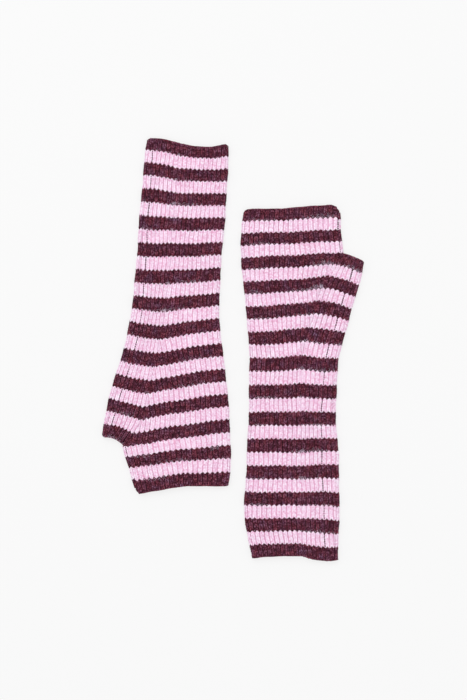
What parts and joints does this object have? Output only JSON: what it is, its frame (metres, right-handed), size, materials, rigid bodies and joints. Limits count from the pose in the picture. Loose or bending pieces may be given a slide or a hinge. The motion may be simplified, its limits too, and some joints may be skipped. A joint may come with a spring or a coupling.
{
  "type": "pair of wrist warmers",
  "caption": "Pair of long striped fingerless wrist warmers in rib knit, lying flat side by side, each a soft tube with openings for arm, fingers and thumb.",
  "frame": {"origin": "on the table under the middle of the pair's outline, seen from above", "axes": "+X to the right and +Y up the pair as it is seen from above, along the tubes; +Z away from the table. The left warmer lies fingers down, the right one fingers up"},
  "size_m": [0.232, 0.3744, 0.0059],
  "materials": {
    "rib_knit": "matt soft wool in burgundy and light pink stripes"
  },
  "bodies": {
    "root": {"wrist_warmer_left": "rib_knit", "wrist_warmer_right": "rib_knit"}
  },
  "joints": []
}
